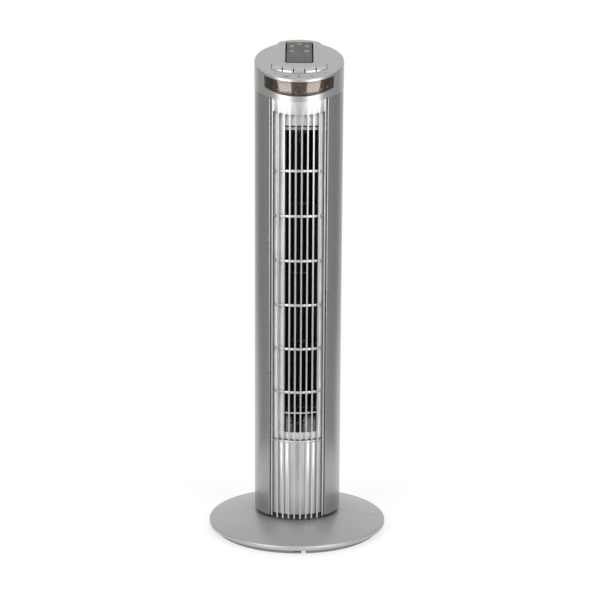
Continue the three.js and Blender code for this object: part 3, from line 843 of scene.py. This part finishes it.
def key_grids(middle, rows, cols):
    """Points of one key: its top, the cap's underside and the body's bottom, from front to rear."""
    wide_slit, narrow_slit = 0.8, 0.1  # on each side of a key
    cap, body = 0.9, 5  # the cap's thickness, and the body's depth below the deck
    tops, undersides, feet = [], [], []
    for i in range(rows + 2):
        top_row, under_row, foot_row = [], [], []
        share = max(0, i - 1) / rows
        for j in range(cols + 1):
            across = 2 * j / cols - 1
            open_until = 0.36 + 0.012 * abs(middle + KEY_PITCH / 2 * across)
            closed = min(1, max(0, (share - open_until) / 0.1))
            slit = wide_slit - (wide_slit - narrow_slit) * closed
            x = middle + (KEY_PITCH / 2 - slit) * across
            foot = KEY_FRONT + KEY_GAP + key_edge(x)
            rise = KEY_RAISE * (KEY_FLUSH - foot) / (1 + KEY_RAISE * KEY_LEAN)
            front = foot + KEY_LEAN * max(0, rise)
            rear = foot + KEY_DEPTH - 0.1
            v = foot if i == 0 else front + (rear - front) * share
            height = 0 if i == 0 else max(0, min(KEY_RAISE * (KEY_FLUSH - v), 0.4 * (rear - v)))
            top_row.append((x, v, height))
            under_row.append((x, v + (cap if i < 2 else 0), height - cap))
            foot_row.append((x, foot + 0.3 + (rear - foot - 1) * i / (rows + 1), -body))
        tops.append(top_row)
        undersides.append(under_row)
        feet.append(foot_row)
    return tops, undersides, feet


def keys():
    """Lacquered caps on black key bodies, with slits between them that close towards the rear."""
    rows, cols = 14, 8
    nose = range(cols + 1, 2 * cols + 2)  # the points along a cap's raised front edge
    for n in range(KEYS):
        tops, undersides, feet = key_grids(-KEY_FIELD / 2 + (n + 0.5) * KEY_PITCH, rows, cols)
        name = f"key_{n + 1}"
        cap = slab(f"piano_key_{n + 1}", tops, undersides, DECK_FRAME)
        soften(cap, 0.7, 4, between=list(nose))
        place(cap, DECKING, name, name, slot="deck_silver", crease=40)
        body = slab(f"key_body_{n + 1}", undersides, feet, DECK_FRAME)
        place(body, BLACK, name, name, slot="deck_silver")


def icons():
    """Small generic marks printed in front of the keys: a sweep, a moon, a ring and dots."""
    bottom, top = 0.02, 0.1  # above the deck
    row = 9  # distance from the deck's front edge

    def mark(name, outline):
        place(prism(name, outline, bottom, top, DECK_FRAME), MARK, "tower", slot="black_plastic")

    sweep = ((-23, -1), (-19, 0.4), (-15.5, 0), (-15, 2), (-19, 3), (-22, 2.2))
    mark("mark_sweep", [(x, row + v) for x, v in sweep])
    turns = [radians(60 + 12 * n) for n in range(21)]
    outer = [(2 * math.cos(a), row + 3.4 * math.sin(a)) for a in turns]
    inner = [(1.1 + 1.2 * math.cos(a), row + 2.6 * math.sin(a)) for a in reversed(turns)]
    mark("mark_moon", outer + inner)
    mark("mark_ring", ellipse(19, row + 1.5, 1.4, 1.8, 24))
    for n, (x, v) in enumerate(((37.5, 24), (42, 26), (-36, 21))):
        mark(f"mark_dot_{n + 1}", ellipse(x, v, 0.9, 1.3, 16))


# -------------------------------------------------------------------- remote


# Centre and radii of each key on the remote's face
REMOTE_KEYS = {
    "remote_key_1": (-11.6, 58.8, 4.6, 4.4),
    "remote_key_2": (11.6, 58.8, 4.6, 4.4),
    "remote_key_3": (-11.6, 40.8, 4.6, 4.4),
    "remote_key_4": (11.6, 40.8, 4.6, 4.4),
    "remote_power_key": (0, 67.4, 4.6, 4),
}


def remote():
    half, wall, corner = REMOTE_W / 2, 1.6, 3.4
    outline = rounded_rectangle(-half, half, 0, REMOTE_L, corner, 8)
    inner = rounded_rectangle(-half + wall, half - wall, wall, REMOTE_L - wall, 2.2, 8)
    case_bottom, case_top = -DOCK_DEPTH + 0.6, -1.9
    case = prism("remote_shell", outline, case_bottom, case_top, DOCK_FRAME)
    combine(case, "DIFFERENCE", prism("remote_hollow", inner, case_bottom + wall, 0, DOCK_FRAME))
    soften(case, 0.6, 3, 40)
    place(case, REMOTE_GREY, "remote", "remote_case", slot="remote_grey")

    face_bottom, face_top, key_gap = -1.6, 0.2, 0.3
    face = prism("remote_front", outline, face_bottom, face_top, DOCK_FRAME)
    holes = [
        prism("key_cut", ellipse(x, y, rx + key_gap, ry + key_gap), -5, 5, DOCK_FRAME)
        for x, y, rx, ry in REMOTE_KEYS.values()
    ]
    combine(face, "DIFFERENCE", *holes)
    soften(face, 0.5, 3, 40)
    place(face, REMOTE_GREY, "remote", "remote_face", slot="remote_grey")

    key_bottom, key_top = -3.4, 0.9
    for name, (x, y, rx, ry) in REMOTE_KEYS.items():
        outline = ellipse(x, y, rx, ry)
        button = prism(name.replace("key", "button"), outline, key_bottom, key_top, DOCK_FRAME)
        soften(button, 1.3, 5, 40)
        is_power = name == "remote_power_key"
        material = GREEN if is_power else REMOTE_KEY
        place(button, material, name, name, slot="green_key" if is_power else "remote_keys")


# ------------------------------------------------------------------ impeller


def impeller():
    """Cross-flow wheel: curved blades between discs, with a hub at its lower end."""
    axis_y = (low("rotor_shaft", "y") + high("rotor_shaft", "y")) / 2
    bottom, top = 198, high("impeller", "z")
    outer, inner, blades, discs = 40, 31.5, 24, 5
    disc_height, ring_bore = 2, 30.5
    bore, hub_r, hub_drop = 5, 12, 4
    sweep, blade_width, rim = 14, 1.6, 0.8  # sweep and width in degrees
    parts = []
    for n in range(blades):
        start = 360 * n / blades
        ridge = []
        for k in range(6):
            share = k / 5
            radius = inner + (outer - rim - inner) * share
            ridge.append((radius, start - sweep * share * (1 - 0.35 * share)))
        outline = [arc(r, a, a, 1, 0, axis_y)[0] for r, a in ridge]
        outline += [arc(r, a + blade_width, a + blade_width, 1, 0, axis_y)[0] for r, a in ridge[::-1]]
        parts.append(prism(f"blade_{n}", outline, bottom + 1, top - 1))
    for n in range(discs):
        z = bottom + (top - disc_height - bottom) * n / (discs - 1)
        hole = bore if n in (0, discs - 1) else ring_bore
        profile = [(hole, z), (outer, z), (outer, z + disc_height), (hole, z + disc_height)]
        parts.append(revolve(f"disc_{n}", profile, steps=72, y=axis_y))
    hub = [(bore, bottom - hub_drop), (hub_r, bottom - hub_drop), (hub_r, bottom), (bore, bottom)]
    parts.append(revolve("hub", hub, steps=40, y=axis_y))
    place(merged("cross_flow_wheel", parts), BLACK, "rotor", "impeller", slot="black_plastic")


# --------------------------------------------------- CAD nodes that stay shown

CAD_FINISH = {
    RUBBER: [
        *(f"rubber_foot_{n}" for n in range(1, 5)),
        *(f"motor_mount_{n}" for n in range(1, 4)),
        "bearing_holder",
        "shaft_coupling",
        "cord_gland",
    ],
    STEEL: [
        *(f"base_screw_{n}" for n in range(1, 5)),
        *(f"casing_screw_{n}" for n in range(1, 3)),
        "ballast_plate",
        "retaining_ring",
        "fan_motor",
        "motor_bracket",
        "swing_motor",
        "rotor_shaft",
        "top_pin",
        "battery_cell",
    ],
    BRASS: ["thrust_washer", "bearing_bush"],
    ACETAL: ["swivel_socket", "swing_rack", "swing_pinion"],
    BOARD: ["display_board", "key_board", "remote_board"],
    BLACK: ["bottom_plate", "scroll_wall", "tongue_wall"],
    # The upper bracket takes the pale backing so that its shaded edge reads bright: painted light.
    PALE_LIT_BACKING: ["upper_bracket"],
}


def finish_cad_nodes():
    for material, names in CAD_FINISH.items():
        for name in names:
            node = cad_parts[name]
            node.data.materials.clear()
            node.data.materials.append(material)


# --------------------------------------------------------------------- stage


class Sky(Tree):
    """Soft surround light by direction: white behind the fan, a softbox on each side of the camera,
    dark walls at the sides, a dim ceiling, and a ground that is white behind and dim in front."""

    def __init__(self):
        world = bpy.data.worlds.new("studio")
        world.use_nodes = True
        super().__init__(world.node_tree)
        self.tree.nodes.clear()
        direction = self.add("ShaderNodeSeparateXYZ")
        self.join(self.add("ShaderNodeTexCoord").outputs["Generated"], direction.inputs[0])
        x, y, z = direction.outputs
        front = self.math("MULTIPLY", y, -1)
        turn = self.math("ABSOLUTE", self.math("ARCTAN2", x, front))
        walls = self.ramp(self.math("DIVIDE", turn, math.pi))
        panel = self.step(front, -0.4, 0.2, CEILING_REAR, CEILING_FRONT)
        overhead = self.step(z, 0.55, 0.72, 0, 1)
        ground = self.step(front, -0.75, -0.35, WALLS[-1][1], GROUND)
        underfoot = self.step(z, -0.27, -0.19, 1, 0)
        sky = self.blend(underfoot, self.blend(overhead, walls, panel), ground)
        shade = self.add("ShaderNodeBackground")
        shade.inputs["Color"].default_value = (1, 1, 1, 1)
        self.join(sky, shade.inputs["Strength"])
        self.join(shade.outputs[0], self.add("ShaderNodeOutputWorld").inputs["Surface"])
        bpy.context.scene.world = world

    def math(self, operation, *values):
        node = self.add("ShaderNodeMath", operation=operation)
        for value, socket in zip(values, node.inputs):
            if isinstance(value, bpy.types.NodeSocket):
                self.join(value, socket)
            else:
                socket.default_value = value
        return node.outputs[0]

    def blend(self, factor, before, after):
        node = self.add("ShaderNodeMix", data_type="FLOAT")
        for name, value in (("Factor", factor), ("A", before), ("B", after)):
            self.join(value, node.inputs[name])
        return node.outputs["Result"]

    def step(self, value, start, end, before, after):
        node = self.add("ShaderNodeMapRange", interpolation_type="SMOOTHSTEP")
        for name, number in (("From Min", start), ("From Max", end), ("To Min", before), ("To Max", after)):
            node.inputs[name].default_value = number
        self.join(value, node.inputs["Value"])
        return node.outputs["Result"]

    def ramp(self, share):
        """Brightness round the walls, from WALLS: 0 is the camera's side, 1 is behind the fan."""
        top = max(level for _, level in WALLS)
        node = self.add("ShaderNodeValToRGB")
        stops = node.color_ramp.elements
        for n, (degrees, level) in enumerate(WALLS):
            stop = stops[0] if n == 0 else stops.new(degrees / 180)
            stop.position = degrees / 180
            stop.color = (*[level / top] * 3, 1)
        stops.remove(stops[len(stops) - 1])
        self.join(share, node.inputs["Fac"])
        return self.math("MULTIPLY", node.outputs["Color"], top)


# Degrees from the camera's side, and brightness there
WALLS = (
    (0, 0.45),
    (19, 0.55),
    (21.5, 4.8),
    (54, 4.8),
    (57, 0.5),
    (66, 0.25),
    (84, 0.2),
    (91, 0.38),
    (98, 0.29),
    (112, 0.27),
    (125, 0.45),
    (138, 0.75),
    (150, 1.02),
    (170, 1.02),
)
CEILING_FRONT = 1
CEILING_REAR = 0.8
GROUND = 0.36


def pale_floor():
    """Backlit white table top."""
    m = Nodes("pale_floor")
    m.join(m.ramp(m.noise(8, 2), (0.29, 0.29, 0.29), (0.31, 0.31, 0.31)), m.shader.inputs["Base Color"])
    m.set(Roughness=0.8, Emission_Color=(1, 1, 1, 1), Emission_Strength=0.68)
    return m.material


FLOOR_R = 330
CAMERA_AT = (0.0022, -1.8443, 0.6589)  # metres
CAMERA_DOWN = 9.12  # degrees below level
CAMERA_ROLL = 0.3


def stage():
    scene = bpy.context.scene
    scene.view_settings.view_transform = "Standard"
    outline = ellipse(0, 0, FLOOR_R, FLOOR_R, 96)
    floor = mesh_object("floor", [(x, y, 0) for x, y in outline], [tuple(range(len(outline)))])
    floor.data.materials.append(pale_floor())
    Sky()

    camera = bpy.data.cameras.new("camera")
    camera.lens = 72.52
    camera.sensor_width = 36
    viewer = bpy.data.objects.new("camera", camera)
    pitch, roll = radians(90 - CAMERA_DOWN), radians(CAMERA_ROLL)
    stand = Matrix.Translation(CAMERA_AT)
    viewer.matrix_world = stand @ Matrix.Rotation(pitch, 4, "X") @ Matrix.Rotation(roll, 4, "Z")
    scene.collection.objects.link(viewer)
    scene.camera = viewer


stage()
base()
side_shells()
front_grille()
outlet()
rear_cover()
head()
window()
keys()
icons()
remote()
impeller()
finish_cad_nodes()
